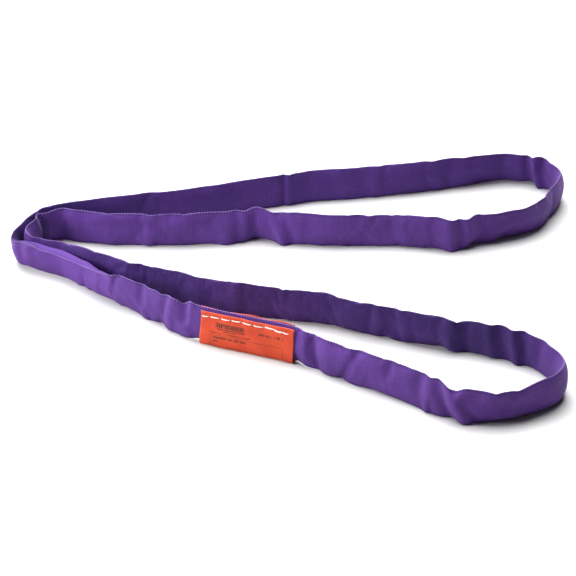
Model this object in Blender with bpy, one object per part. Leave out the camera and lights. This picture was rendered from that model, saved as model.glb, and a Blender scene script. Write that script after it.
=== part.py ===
"""Round sling: a yarn hank in a woven tubular jacket, laid on edge and folded into a V.

Metres, +Z up, floor at z = 0. +X runs from the fold of the V to its two bights.
Run in Blender 4.5. Every object is one closed solid with its own material.
"""
import math

import bmesh
import bpy
from mathutils import Vector

# ---- driving dimensions, metres ----
SLING_LENGTH = 1.2192          # bearing to bearing; the loop is twice as long
JACKET_WIDTH = 0.0380          # flat width of the jacket, which stands upright
JACKET_THICKNESS = 0.0078      # across the filled jacket
JACKET_WALL = 0.0008
JACKET_OVERLAP = 0.060         # one end of the jacket is tucked this far into the other
TUCK_NARROWING = 0.0006        # the tucked end is slimmer by this on every side
FIT_GAP = 0.0003               # clearance between pieces that touch in the real sling

YARN_TURNS = 11                # turns of the endless core
YARN_PITCH = 0.00215           # from one turn to the next, across the hank
YARN_WIDTH = 0.00185
YARN_THICKNESS = 0.0030

TAG_LENGTH = 0.0965
TAG_THICKNESS = 0.0006
# Inner face of the folded tag, from the fold up: height and depth from the middle line.
TAG_PROFILE = [
    (-0.0204, 0.0018), (-0.0194, 0.0036), (-0.0170, 0.0047), (-0.0100, 0.0051),
    (0.0060, 0.0051), (0.0130, 0.0044), (0.0180, 0.0034),
]

STITCH_START = 0.0022          # first needle hole, from the tag's end
STITCH_PITCH = 0.0098
STITCH_COUNT = 9
STITCH_HEIGHT = 0.0125         # tag seam above the middle line
STITCH_RADIUS = 0.00026
NEEDLE_HOLE_RADIUS = 0.00085

CLOSING_SEAM_HEIGHT = -0.0125  # seam of the jacket's overlap, below the middle line
CLOSING_SEAM_RADIUS = 0.00018

# ---- shape of the loop ----
# Middle line of the sling as it lies, in millimetres before scaling to length.
# Each row: x, y, and how far the top edge leans from the bottom edge in x and y.
ROUTE_MM = [
    (-71, -102, 0, 0), (-46, -109, 0, 0), (-16, -116, 0, 0), (22, -126, 0, 0),
    (52, -140, 0, 0), (72, -151, 0, 0), (96, -161, 0, 1), (122, -173, 0, 3),
    (148, -187, 0, 4), (168, -199, 0, 3), (184, -204, 0, -2), (200, -205, 0, -4),
    (220, -201, 0, -8), (238, -194, 0, -8), (257, -180, 0, -4), (270, -166, 0, -4),
    (275, -151, 0, -4), (271, -137, 0, -3), (261, -125, 0, -2), (246, -112, 0, 0),
    (224, -102, 0, 0), (196, -94, 0, -2), (172, -90, 0, -4), (137, -84, 0, -5),
    (101, -76, 0, -4), (70, -69, 0, -4), (44, -62, 0, -4), (6, -58, 0, -2),
    (-34, -54, 0, -1), (-80, -48, 0, 0), (-111, -40, 0, 0), (-157, -26, 0, -1),
    (-198, -10, 0, -3), (-226, 1, 0, -5), (-246, 7, 0, -8), (-258, 14, -1, -10),
    (-263, 24, -1, -11), (-262, 36, -1, -10), (-256, 49, -1, -7), (-248, 58, 0, -5),
    (-238, 62, 0, -3), (-222, 61, 0, -1), (-188, 59, 0, 0), (-148, 63, 0, 0),
    (-118, 66, 0, 0), (-94, 71, 0, 1), (-67, 77, 0, 1), (-44, 84, 0, 0),
    (-30, 84, 0, -1), (-13, 81, 0, -1), (5, 83, 0, -1), (30, 83, 0, -2),
    (64, 87, 0, 0), (104, 92, 0, 0), (134, 91, 0, -1), (158, 90, 0, -3),
    (174, 98, 0, -6), (190, 107, 0, -8), (210, 117, 0, -10), (229, 128, 0, -11),
    (244, 145, 0, -8), (253, 164, 0, -5), (259, 183, 0, -6), (261, 199, 0, -8),
    (256, 211, 0, -8), (246, 221, 0, -6), (234, 228, 0, -6), (218, 232, 0, -8),
    (203, 233, 0, -9), (188, 229, 0, -9), (168, 220, 0, -6), (145, 212, 0, -2),
    (112, 200, 0, 0), (74, 188, 0, 1), (36, 176, 0, 1), (4, 168, 0, 1),
    (-16, 159, 0, 0), (-44, 148, 0, 0), (-90, 128, 0, 0), (-135, 110, 0, 0),
    (-162, 102, 0, 0), (-194, 91, 0, 0), (-225, 80, 0, -2), (-246, 72, 0, -5),
    (-259, 63, -1, -8), (-267, 50, -2, -11), (-273, 32, -2, -13), (-277, 17, -2, -14),
    (-274, 7, -1, -14), (-262, 1, 0, -13), (-248, -5, 0, -12), (-226, -13, -1, -12),
    (-202, -27, 0, -10), (-176, -43, 0, -9), (-154, -55, 0, -5), (-128, -71, 0, -2),
    (-100, -90, 0, 0),
]
STEPS_PER_SPAN = 12
TURN_WEIGHT = 0.120            # metres of straight sling that one radian of turn counts for
STATION_COST = 0.064           # metres of counted length between stations
RAMP_LENGTH = 0.025            # run over which the jacket changes size near the tag
MOUTH_STATIONS = 4             # stations along the jacket's overlap

# Half of the jacket's cross-section, bottom to top: height and depth as fractions.
SECTION = [(-1.00, 0.22), (-0.80, 0.70), (-0.30, 1.00), (0.30, 1.00), (0.80, 0.70), (1.00, 0.22)]

COLOURS = {
    "jacket": (0.105, 0.058, 0.225),
    "core_yarn": (0.78, 0.76, 0.70),
    "tag": (0.62, 0.060, 0.018),
    "tag_needle_thread": (0.80, 0.79, 0.76),
    "tag_bobbin_thread": (0.80, 0.79, 0.76),
    "closing_needle_thread": (0.20, 0.11, 0.38),
    "closing_bobbin_thread": (0.20, 0.11, 0.38),
}


# ---- the route ----
def span_tangents(points):
    """Smooth tangents, per metre of chord, at the points of a closed run."""
    count = len(points)
    tangents = []
    for i in range(count):
        before, here, after = points[i - 1], points[i], points[(i + 1) % count]
        back, ahead = (here - before).length, (after - here).length
        slope_back, slope_ahead = (here - before) / back, (after - here) / ahead
        tangents.append((slope_back * ahead + slope_ahead * back) / (back + ahead))
    return tangents


def hermite(start, end, start_slope, end_slope, t):
    """Point at fraction t of a cubic span."""
    return (
        start * (2 * t**3 - 3 * t**2 + 1) + start_slope * (t**3 - 2 * t**2 + t)
        + end * (3 * t**2 - 2 * t**3) + end_slope * (t**3 - t**2)
    )


def dense_route():
    """Closely spaced middle-line points and leans, scaled to the sling's length."""
    points = [Vector((x, y, 0.0)) / 1000 for x, y, _, _ in ROUTE_MM]
    leans = [Vector((lx, ly, 0.0)) / 1000 for _, _, lx, ly in ROUTE_MM]
    tangents = span_tangents(points)
    middle, lean = [], []
    for i in range(len(points)):
        j = (i + 1) % len(points)
        chord = (points[j] - points[i]).length
        for step in range(STEPS_PER_SPAN):
            t = step / STEPS_PER_SPAN
            middle.append(hermite(points[i], points[j], tangents[i] * chord, tangents[j] * chord, t))
            lean.append(leans[i].lerp(leans[j], t * t * (3 - 2 * t)))
    loop = sum((middle[i] - middle[i - 1]).length for i in range(len(middle)))
    scale = 2 * SLING_LENGTH / loop
    return [p * scale for p in middle], lean


def running_lengths(points):
    """Distance along a closed run of points, ending with the full loop."""
    lengths = [0.0]
    for i in range(len(points)):
        lengths.append(lengths[-1] + (points[(i + 1) % len(points)] - points[i]).length)
    return lengths


def turn_at(points, i):
    """Angle that a closed run of points turns through at point i."""
    before = points[i] - points[i - 1]
    after = points[(i + 1) % len(points)] - points[i]
    return before.angle(after)


class Track:
    """Stations along the sling, each with a centre, an upward and a sideways direction."""

    def __init__(self):
        self.middle, self.lean = dense_route()
        self.lengths = running_lengths(self.middle)
        self.loop = self.lengths[-1]
        self.positions = self.station_positions()
        self.frames = [self.frame(s) for s in self.positions]

    def station_positions(self):
        """Even stations on the straights, closer ones in the bends, fixed ones at the tag."""
        margin = (TAG_LENGTH - JACKET_OVERLAP) / 2
        step = JACKET_OVERLAP / (MOUTH_STATIONS - 1)
        overlap = [margin + step * k for k in range(MOUTH_STATIONS)]
        fixed = [0.0] + overlap + [TAG_LENGTH, TAG_LENGTH + RAMP_LENGTH]
        last = self.loop - RAMP_LENGTH
        free, cost = [], 0.0
        for i, s in enumerate(self.lengths[:-1]):
            if i > 0:
                cost += (s - self.lengths[i - 1]) + TURN_WEIGHT * turn_at(self.middle, i)
            if cost >= STATION_COST:
                cost = 0.0
                if fixed[-1] + 0.012 < s < last - 0.012:
                    free.append(s)
        return fixed + free + [last]

    def sample(self, values, s):
        """Value of a per-point list at distance s along the loop."""
        s %= self.loop
        i = max(k for k in range(len(values)) if self.lengths[k] <= s)
        t = (s - self.lengths[i]) / (self.lengths[i + 1] - self.lengths[i])
        return values[i].lerp(values[(i + 1) % len(values)], t)

    def frame(self, s):
        """Centre, up and outward side direction at distance s."""
        here = self.sample(self.middle, s)
        along = self.sample(self.middle, s + 0.003) - self.sample(self.middle, s - 0.003)
        lean = self.sample(self.lean, s)
        up = Vector((lean.x, lean.y, math.sqrt(JACKET_WIDTH**2 - lean.length_squared))).normalized()
        side = along.cross(up).normalized()
        rise = (JACKET_WIDTH / 2) * up.z + edge_half_depth() * abs(side.z)
        rise += tag_lift(s, self.loop)
        return Vector((here.x, here.y, rise)), up, side

    def station_point(self, index, height, depth):
        """Point at a height and a depth from the middle line of one station."""
        centre, up, side = self.frames[index % len(self.frames)]
        return centre + up * height + side * depth

    def point(self, s, height, depth):
        """The same at any distance, on the straight line between two stations."""
        count = len(self.positions)
        i = max(k for k in range(count) if self.positions[k] <= s)
        end = self.positions[i + 1] if i + 1 < count else self.loop
        t = (s - self.positions[i]) / (end - self.positions[i])
        return self.station_point(i, height, depth).lerp(self.station_point(i + 1, height, depth), t)


def tag_lift(s, loop):
    """Rise of the jacket over the tag's fold, easing off on each side of the tag."""
    full = TAG_THICKNESS - TAG_PROFILE[0][0] - JACKET_WIDTH / 2
    away = max(-s if s <= TAG_LENGTH else s - TAG_LENGTH, 0.0)
    away = min(away, abs(loop - s))
    return full * max(0.0, 1 - away / (RAMP_LENGTH * 1.001))


def edge_half_depth():
    """Half the depth of the flat along the jacket's top and bottom edges."""
    return SECTION[0][1] * JACKET_THICKNESS / 2


def mouth_growth():
    """How much the jacket's open mouth is larger than the plain jacket, on every side."""
    return JACKET_WALL + FIT_GAP - TUCK_NARROWING


# ---- building solids ----
def link_piece(name, data):
    """A new object in the scene."""
    piece = bpy.data.objects.new(name, data)
    bpy.context.scene.collection.objects.link(piece)
    return piece


def closed_mesh(name, verts, faces):
    """A mesh with all its faces turned outwards."""
    mesh = bpy.data.meshes.new(name)
    mesh.from_pydata([tuple(v) for v in verts], [], faces)
    work = bmesh.new()
    work.from_mesh(mesh)
    bmesh.ops.recalc_face_normals(work, faces=work.faces)
    work.to_mesh(mesh)
    work.free()
    return mesh


def make_piece(name, verts, faces, smooth):
    """A mesh object with its own material."""
    mesh = closed_mesh(name, verts, faces)
    mesh.materials.append(make_material(name))
    if smooth:
        mesh.shade_smooth()
    return link_piece(name, mesh)


def make_material(name):
    """A plain matt material in the piece's colour."""
    material = bpy.data.materials.new(name)
    material.use_nodes = True
    shader = material.node_tree.nodes["Principled BSDF"]
    shader.inputs["Base Color"].default_value = (*COLOURS[name], 1.0)
    shader.inputs["Roughness"].default_value = 0.8
    return material


def ring_faces(start, count, rings):
    """Side faces between successive rings of `count` points, from point `start` on."""
    faces = []
    for r in range(rings - 1):
        a = start + r * count
        for k in range(count):
            n = (k + 1) % count
            faces.append((a + k, a + n, a + count + n, a + count + k))
    return faces


def solid_sweep(name, rings):
    """A solid bar through rings of points, with a flat cap at each end."""
    count = len(rings[0])
    verts = [v for ring in rings for v in ring]
    faces = ring_faces(0, count, len(rings))
    faces.append(tuple(range(count)))
    faces.append(tuple(range(len(verts) - count, len(verts))))
    return make_piece(name, verts, faces, smooth=False)


def tube_sweep(name, outer, inner):
    """A tube with a wall, open at both ends."""
    count, rings = len(outer[0]), len(outer)
    verts = [v for ring in outer for v in ring] + [v for ring in inner for v in ring]
    inside = rings * count
    faces = ring_faces(0, count, rings) + ring_faces(inside, count, rings)
    for end in (0, (rings - 1) * count):
        for k in range(count):
            n = (k + 1) % count
            faces.append((end + k, end + n, inside + end + n, inside + end + k))
    return make_piece(name, verts, faces, smooth=True)


def lens(grow):
    """The jacket's whole cross-section, larger by `grow` on every side."""
    width, thickness = JACKET_WIDTH / 2 + grow, JACKET_THICKNESS / 2 + grow
    front = [(h * width, d * thickness) for h, d in SECTION]
    back = [(h, -d) for h, d in reversed(front)]
    return front + back


def lens_depth(grow, height):
    """Half thickness of the jacket's cross-section at a height."""
    outline = lens(grow)[:len(SECTION)]
    for (low, low_depth), (high, high_depth) in zip(outline, outline[1:]):
        if low <= height <= high:
            return low_depth + (high_depth - low_depth) * (height - low) / (high - low)
    return outline[0][1]


# ---- the pieces ----
def jacket_growth(station, count):
    """Size change of the jacket at a station: wide mouth first, tucked end last."""
    if station <= MOUTH_STATIONS:
        return mouth_growth()
    if station == MOUTH_STATIONS + 1:
        return mouth_growth() / 2
    if station >= count:
        return -TUCK_NARROWING
    return 0.0


def build_jacket(track):
    """The woven tube, once round the loop and tucked into its own mouth."""
    count = len(track.positions)
    outer, inner = [], []
    for station in range(1, count + MOUTH_STATIONS + 1):
        grow = jacket_growth(station, count)
        outer.append([track.station_point(station, h, d) for h, d in lens(grow)])
        inner.append([track.station_point(station, h, d) for h, d in lens(grow - JACKET_WALL)])
    return tube_sweep("jacket", outer, inner)


def build_core_yarn(track):
    """One continuous yarn wound round the loop, moving one pitch across at every turn."""
    count = len(track.positions)
    total = YARN_TURNS * count - 1
    half_w, half_t = YARN_WIDTH / 2, YARN_THICKNESS / 2
    rings = []
    for k in range(total + 1):
        height = YARN_PITCH * (k / count - YARN_TURNS / 2)
        corners = [(-half_w, -half_t), (half_w, -half_t), (half_w, half_t), (-half_w, half_t)]
        rings.append([track.station_point(k, height + h, d) for h, d in corners])
    return solid_sweep("core_yarn", rings)


def tag_depth(height):
    """Depth of the tag's outer face at a height."""
    for (low, low_depth), (high, high_depth) in zip(TAG_PROFILE, TAG_PROFILE[1:]):
        if low <= height <= high:
            inner = low_depth + (high_depth - low_depth) * (height - low) / (high - low)
            return inner + TAG_THICKNESS
    return TAG_PROFILE[0][1] + TAG_THICKNESS


def tag_outline():
    """Cross-section of the folded tag: down the back, round the fold and up the front."""
    inside = [Vector(point) for point in TAG_PROFILE]
    outside = []
    for i, point in enumerate(inside):
        ahead = inside[min(i + 1, len(inside) - 1)] - inside[max(i - 1, 0)]
        if i == 0:
            ahead = Vector((0.0, 1.0))
        outwards = Vector((-ahead.y, ahead.x)).normalized()
        outside.append(point + outwards * TAG_THICKNESS)
    outer_path = [(h, -d) for h, d in reversed(outside)] + [(h, d) for h, d in outside]
    inner_path = [(h, -d) for h, d in reversed(inside)] + [(h, d) for h, d in inside]
    return outer_path + inner_path[::-1]


def hole_positions():
    """Distances along the loop of the tag seam's needle holes."""
    return [STITCH_START + STITCH_PITCH * k for k in range(STITCH_COUNT + 1)]


def build_hole_cutter(track):
    """A row of round bars across the tag, one for each needle hole."""
    verts, faces, sides = [], [], 8
    for s in hole_positions():
        base = len(verts)
        for depth in (-0.012, 0.012):
            for k in range(sides):
                angle = 2 * math.pi * (k + 0.5) / sides
                along = NEEDLE_HOLE_RADIUS * math.cos(angle)
                height = STITCH_HEIGHT + NEEDLE_HOLE_RADIUS * math.sin(angle)
                verts.append(track.point(s + along, height, depth))
        faces += ring_faces(base, sides, 2)
        faces.append(tuple(range(base, base + sides)))
        faces.append(tuple(range(base + sides, base + 2 * sides)))
    cutter = link_piece("needle_hole_cutter", closed_mesh("needle_hole_cutter", verts, faces))
    cutter.hide_render = True
    cutter.display_type = "WIRE"
    return cutter


def build_tag(track, cutter):
    """The identification tag, folded round the bottom edge and pierced for its seam."""
    stations = [i for i, s in enumerate(track.positions) if s <= TAG_LENGTH + 1e-6]
    rings = [[track.station_point(i, h, d) for h, d in tag_outline()] for i in stations]
    tag = solid_sweep("tag", rings)
    holes = tag.modifiers.new("needle_holes", "BOOLEAN")
    holes.operation = "DIFFERENCE"
    holes.solver = "EXACT"
    holes.object = cutter
    return tag


def thread_along(name, path, radius):
    """A round sewing thread through a path of points, with capped ends."""
    curve = bpy.data.curves.new(name, "CURVE")
    curve.dimensions = "3D"
    curve.bevel_depth = radius
    curve.bevel_resolution = 1
    curve.render_resolution_u = 1
    curve.resolution_u = 1
    curve.use_fill_caps = True
    spline = curve.splines.new("POLY")
    spline.points.add(len(path) - 1)
    for knot, place in zip(spline.points, path):
        knot.co = (*place, 1.0)
    spline.use_smooth = True
    curve.materials.append(make_material(name))
    return link_piece(name, curve)


def build_tag_thread(name, track, front):
    """One thread of the tag's lockstitch seam, dipping into every needle hole."""
    face = tag_depth(STITCH_HEIGHT)
    over, under = face + STITCH_RADIUS + 0.00012, face - 0.00035
    dip = [(-0.0011, over), (-0.0004, over), (0.0, under), (0.0004, over), (0.0011, over)]
    holes = hole_positions()
    path = []
    for s in holes:
        for offset, depth in dip:
            if holes[0] <= s + offset <= holes[-1]:
                path.append(track.point(s + offset, STITCH_HEIGHT, depth if front else -depth))
    return thread_along(name, path, STITCH_RADIUS)


def build_closing_thread(name, track, front):
    """One thread of the seam that closes the jacket's overlap, hidden by the tag."""
    margin = (TAG_LENGTH - JACKET_OVERLAP) / 2
    face = lens_depth(mouth_growth(), CLOSING_SEAM_HEIGHT)
    steps = 12
    path = []
    for k in range(steps + 1):
        s = margin + 0.002 + (JACKET_OVERLAP - 0.004) * k / steps
        depth = face + CLOSING_SEAM_RADIUS + (0.00012 if k % 2 else 0.00020)
        path.append(track.point(s, CLOSING_SEAM_HEIGHT, depth if front else -depth))
    return thread_along(name, path, CLOSING_SEAM_RADIUS)


def centre_on_origin(solids, things):
    """Hang everything on one empty that brings the middle of the solids to the origin."""
    corners = [v.co for solid in solids for v in solid.data.vertices]
    middle_x = (max(c.x for c in corners) + min(c.x for c in corners)) / 2
    middle_y = (max(c.y for c in corners) + min(c.y for c in corners)) / 2
    anchor = link_piece("sling", None)
    anchor.location = (-middle_x, -middle_y, 0.0)
    for thing in things:
        thing.parent = anchor


def main():
    for thing in list(bpy.data.objects):
        bpy.data.objects.remove(thing, do_unlink=True)
    track = Track()
    cutter = build_hole_cutter(track)
    jacket = build_jacket(track)
    tag = build_tag(track, cutter)
    others = [
        cutter,
        build_core_yarn(track),
        build_tag_thread("tag_needle_thread", track, front=True),
        build_tag_thread("tag_bobbin_thread", track, front=False),
        build_closing_thread("closing_needle_thread", track, front=True),
        build_closing_thread("closing_bobbin_thread", track, front=False),
    ]
    centre_on_origin([jacket, tag], [jacket, tag] + others)


main()
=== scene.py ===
"""Looks of the round sling: woven jacket, folded tag, stitches, floor, light and camera.

Metres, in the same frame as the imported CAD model. The jacket follows the CAD model's route
with a fine surface, is wrinkled by a short cloth simulation, and is woven by its material.
"""
import math

import bpy
import numpy as np
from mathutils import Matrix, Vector, noise


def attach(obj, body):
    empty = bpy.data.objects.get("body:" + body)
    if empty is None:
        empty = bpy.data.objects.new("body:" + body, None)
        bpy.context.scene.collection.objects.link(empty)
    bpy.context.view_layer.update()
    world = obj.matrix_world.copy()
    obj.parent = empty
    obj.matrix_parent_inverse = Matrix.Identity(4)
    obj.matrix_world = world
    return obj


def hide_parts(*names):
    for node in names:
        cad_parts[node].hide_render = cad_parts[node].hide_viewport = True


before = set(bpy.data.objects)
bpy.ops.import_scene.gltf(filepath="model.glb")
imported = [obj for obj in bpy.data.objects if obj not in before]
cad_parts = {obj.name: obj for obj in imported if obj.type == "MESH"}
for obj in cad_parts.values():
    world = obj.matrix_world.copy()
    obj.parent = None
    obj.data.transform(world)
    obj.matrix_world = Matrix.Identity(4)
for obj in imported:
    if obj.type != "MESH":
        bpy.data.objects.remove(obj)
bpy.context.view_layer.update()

# ---- dimensions, metres; those that the CAD model has too are named as they are there ----
SLING_LENGTH = 1.2192
JACKET_WIDTH = 0.0380
JACKET_THICKNESS = 0.0078
HELD_THICKNESS = 0.0092        # under the tag, where the jacket is doubled
HELD_RISE = 0.0008             # and this much taller there
TAG_LENGTH = 0.0965
TAG_THICKNESS = 0.0006
TAG_LIFT = 0.0020              # the jacket stands this much higher over the tag's fold
RAMP_LENGTH = 0.025            # run over which it comes down again on both sides of the tag
HELD_FADE = 0.012              # run over which the tag's hold on the jacket ends
ANCHOR = (0.001362, -0.014864)  # where the route's own zero lies in the model's frame
STITCH_HEIGHT = 0.0125         # the tag's seam, above the jacket's middle line
# The tag's middle surface across the sling: height and depth from the sling's middle line.
TAG_FRONT = [
    (-0.0207, 0.0044), (-0.0198, 0.0056), (-0.0170, 0.0058), (-0.0100, 0.0057),
    (0.0060, 0.0054), (0.0130, 0.0049), (0.0173, 0.0043),
]
TAG_BACK = [
    (-0.0207, 0.0020), (-0.0196, 0.0040), (-0.0170, 0.0050), (-0.0100, 0.0054),
    (0.0060, 0.0054), (0.0130, 0.0048), (0.0172, 0.0040),
]
FRONT_SHIFT = 0.0010           # the front panel lies this far to the right of the fold
FRONT_SKEW = 0.0014            # and this much further at its left end
BACK_SHIFT = 0.0028            # the back panel lies this far the other way
FRONT_SAG = 0.0003             # dip in the front panel's free edge
BACK_SAG = 0.0012              # dip in the back panel's free edge, at its left end
BACK_WAVE = 0.0008             # wave in the same edge
TAG_PUFF = 0.0008              # slow swell of both panels
HOLE_PULL = 0.0006             # how far a needle hole draws the tag in
EDGE_FLARE = 0.0007            # how far the free edges stand off
CORNER_OUT = 0.0016            # how far the front panel's lower left corner stands off
# The sling's middle line on the floor and the lean of its top edge: x, y, lean x, lean y, mm.
ROUTE_MM = [
    (-71, -102, 0, 0), (-46, -109, 0, 0), (-16, -116, 0, 0), (22, -126, 0, 0),
    (52, -140, 0, 0), (72, -151, 0, 0), (96, -161, 0, 1), (122, -173, 0, 3),
    (148, -187, 0, 4), (168, -199, 0, 3), (184, -204, 0, -2), (200, -205, 0, -4),
    (220, -201, 0, -8), (238, -194, 0, -8), (257, -180, 0, -4), (270, -166, 0, -4),
    (275, -151, 0, -4), (271, -137, 0, -3), (261, -125, 0, -2), (246, -112, 0, 0),
    (224, -102, 0, 0), (196, -94, 0, -2), (172, -90, 0, -4), (137, -84, 0, -5),
    (101, -76, 0, -4), (70, -69, 0, -4), (44, -62, 0, -4), (6, -58, 0, -2),
    (-34, -54, 0, -1), (-80, -48, 0, 0), (-111, -40, 0, 0), (-157, -26, 0, -1),
    (-198, -10, 0, -3), (-226, 1, 0, -5), (-246, 7, 0, -8), (-258, 14, -1, -10),
    (-263, 24, -1, -11), (-262, 36, -1, -10), (-256, 49, -1, -7), (-248, 58, 0, -5),
    (-238, 62, 0, -3), (-222, 61, 0, -1), (-188, 59, 0, 0), (-148, 63, 0, 0),
    (-118, 66, 0, 0), (-94, 71, 0, 1), (-67, 77, 0, 1), (-44, 84, 0, 0),
    (-30, 84, 0, -1), (-13, 81, 0, -1), (5, 83, 0, -1), (30, 83, 0, -2),
    (64, 87, 0, 0), (104, 92, 0, 0), (134, 91, 0, -1), (158, 90, 0, -3),
    (174, 98, 0, -6), (190, 107, 0, -8), (210, 117, 0, -10), (229, 128, 0, -11),
    (244, 145, 0, -8), (253, 164, 0, -5), (259, 183, 0, -6), (261, 199, 0, -8),
    (256, 211, 0, -8), (246, 221, 0, -6), (234, 228, 0, -6), (218, 232, 0, -8),
    (203, 233, 0, -9), (188, 229, 0, -9), (168, 220, 0, -6), (145, 212, 0, -2),
    (112, 200, 0, 0), (74, 188, 0, 1), (36, 176, 0, 1), (4, 168, 0, 1),
    (-16, 159, 0, 0), (-44, 148, 0, 0), (-90, 128, 0, 0), (-135, 110, 0, 0),
    (-162, 102, 0, 0), (-194, 91, 0, 0), (-225, 80, 0, -2), (-246, 72, 0, -5),
    (-259, 63, -1, -8), (-267, 50, -2, -11), (-273, 32, -2, -13), (-277, 17, -2, -14),
    (-274, 7, -1, -14), (-262, 1, 0, -13), (-248, -5, 0, -12), (-226, -13, -1, -12),
    (-202, -27, 0, -10), (-176, -43, 0, -9), (-154, -55, 0, -5), (-128, -71, 0, -2),
    (-100, -90, 0, 0),
]
STEPS_PER_SPAN = 12

# Needle holes of the tag's seam, mm from the tag's left end.
STITCH_ENDS = [0.6, 8.6, 19.9, 30.6, 41.8, 53.1, 64.9, 74.8, 83.9, 90.8]
STITCH_STEPS = 10              # short runs that make up one stitch
STITCH_THREAD = 0.00062        # one ply of the two in a stitch
# Measures of a stitch as shares of that ply.
STITCH_PROUD = 0.75            # how far its middle stands out
STITCH_SUNK = 0.25             # how far its ends are pulled in
PLY_APART = 0.36               # each ply's distance from the stitch's middle line
PLY_RADIUS = 0.47
BACK_TACK_RADIUS = 0.55
# Stitches sewn over again at the far end: start and end in mm, and the metres that each lies
# below the seam, or above it where they are negative.
BACK_TACK = [(66, 75, -0.0007), (73, 83, -0.0004), (81, 90, -0.0006)]
BACK_TACKED_FROM = 60          # mm; the stitches past this nearly touch each other

# Rows of bars printed on the tag: left, right, top and bottom edges in mm, mm from one bar to
# the next, the share of the bars that is printed, and the row's random seed.
TAG_PRINT = [
    ((15.5, 44.8, 9.6, 14.6), 2.10, 0.97, 1), ((17.0, 45.5, 15.3, 17.0), 0.95, 0.90, 2),
    ((23.0, 36.0, 17.8, 18.9), 0.80, 0.85, 3), ((8.5, 51.5, 20.2, 21.6), 0.85, 0.80, 4),
    ((57.5, 85.0, 11.8, 14.2), 1.15, 0.78, 5), ((13.5, 47.0, 25.0, 27.3), 1.30, 0.70, 6),
    ((13.5, 21.0, 29.2, 31.2), 1.20, 0.80, 7),
]
# Thin lines of the printed frame: left, right, top and bottom edges in mm.
TAG_FRAME = [
    (10.6, 85.2, 23.4, 23.8), (10.6, 85.2, 35.0, 35.4), (10.6, 11.0, 23.4, 35.4),
    (84.8, 85.2, 23.4, 35.4),
]
TAG_PITCH = 0.00045            # threads of the tag's cloth, both ways

# ---- the fine jacket ----
STATIONS = 900                 # rings of points along the loop
AROUND = 32                    # points in each ring
GROWTH = 0.045                 # most that the cloth is longer than the core it covers
CORE_HOLD = 0.15               # how firmly the core holds the cloth
CLOTH_FRAMES = 12
CLOTH_REACH = 0.004            # the cloth strays no further than this from its core
EDGE_SPAN = 0.0405             # cloth from one folded edge to the other
EDGE_PRESSED = 0.0004          # the bottom edge is flattened by this much where it stands
WEFT_PITCH = 0.0015            # ribs along the sling
WARP_PITCH = 0.0012            # threads across the ribs
EDGE_PITCH = 0.0027            # notches where the ribs turn round the folded edges
# Soft unevenness of the filled jacket: shares of its width and thickness, and a bow in metres.
WIDTH_LOSS = 0.008             # share by which it is narrower than the flat jacket
WIDTH_CHANGE = 0.012
THICKNESS_CHANGE = 0.14
PUFF_CHANGE = 0.16
BOW_CHANGE = 0.0008
# Stretches of the loop darkened by painted shade, where the strand in front and deep folds shade the
# cloth: face, start, end, fade at each end, and how much.
PAINTED_SHADE_RUNS = [
    ("inner", 0.435, 0.520, 0.02, 0.60), ("inner", 0.460, 0.950, 0.03, 0.50),
    ("inner", 0.800, 0.840, 0.02, 0.45), ("outer", 0.988, 1.002, 0.004, 0.90),
    ("inner", 2.020, 2.120, 0.03, 0.40), ("inner", 2.110, 2.220, 0.03, 0.90),
]

# ---- the yarn inside it ----
YARN_TURNS = 11
YARN_PITCH = 0.00215           # from one turn to the next, up the jacket
YARN_RISE = 0.40               # half height of the strand, as a share of that pitch
YARN_DEPTH = 0.45              # half depth of the strand, as a share of the jacket's
YARN_SPREAD = 0.72             # the turns fill this share of the jacket's height
YARN_STATIONS = 450            # places along each turn
YARN_SIDES = 6

# ---- the jacket's bends, bunches and creases ----
# Where the top edge is rolled over outwards: distance along the sling and turn in degrees.
CURL = [(0.00, 0), (2.196, 0), (2.216, 50), (2.238, 92), (2.262, 98),
        (2.285, 84), (2.310, 50), (2.340, 0), (2.4384, 0)]
CURL_REACH = 0.012             # height of the strip that is rolled over
CURL_BEND = 0.7                # share of that strip in which it bends
UPRIGHT_CURL = 1.65            # turn, in radians, at which the band no longer leans

# How much the cloth is bunched up along the sling, from 0 to 1.
BUNCHED = [(0.00, 0.0), (0.097, 0.0), (0.110, 0.9), (0.160, 0.6), (0.300, 0.6), (0.400, 0.4),
           (0.520, 0.6), (0.700, 0.4), (0.960, 0.5), (1.030, 0.3), (1.300, 0.3), (1.450, 0.6),
           (1.560, 0.3), (1.660, 0.3), (1.800, 0.1), (2.100, 0.1), (2.190, 0.5), (2.340, 0.6),
           (2.425, 0.9), (2.4384, 0.0)]

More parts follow.
